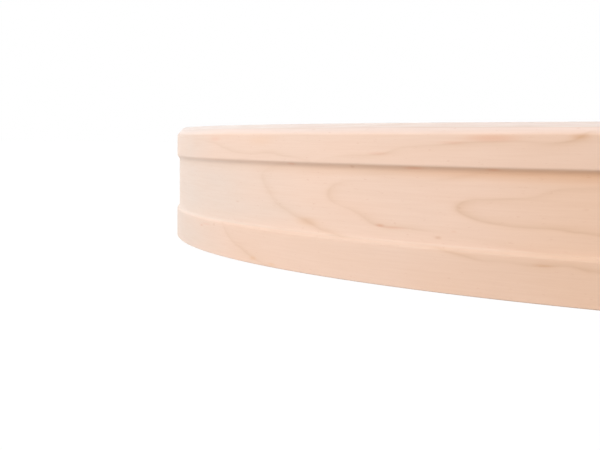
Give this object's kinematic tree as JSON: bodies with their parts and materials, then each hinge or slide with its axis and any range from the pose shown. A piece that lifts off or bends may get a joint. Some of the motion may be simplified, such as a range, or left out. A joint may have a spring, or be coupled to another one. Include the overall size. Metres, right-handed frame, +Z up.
{
  "type": "wooden drum hoop",
  "caption": "Shallow laminated maple drum hoop with a routed inlay channel round its outside face and a bevelled outer top edge.",
  "frame": {"origin": "on the hoop's axis, in the plane of its lower rim, at the bottom centre of the bounding box", "axes": "+Z up along the hoop's axis, towards the bevelled rim; X and Y lie in the plane of the lower rim"},
  "size_m": [0.5874, 0.5874, 0.0397],
  "materials": {
    "face_maple": "sanded, bare",
    "core_maple": "sanded, bare"
  },
  "bodies": {
    "root": {"outer_face_ply": "face_maple", "ply_2": "core_maple", "ply_3": "core_maple", "ply_4": "core_maple", "ply_5": "core_maple", "ply_6": "core_maple", "ply_7": "core_maple", "ply_8": "core_maple", "ply_9": "core_maple", "inner_face_ply": "face_maple"}
  },
  "joints": []
}
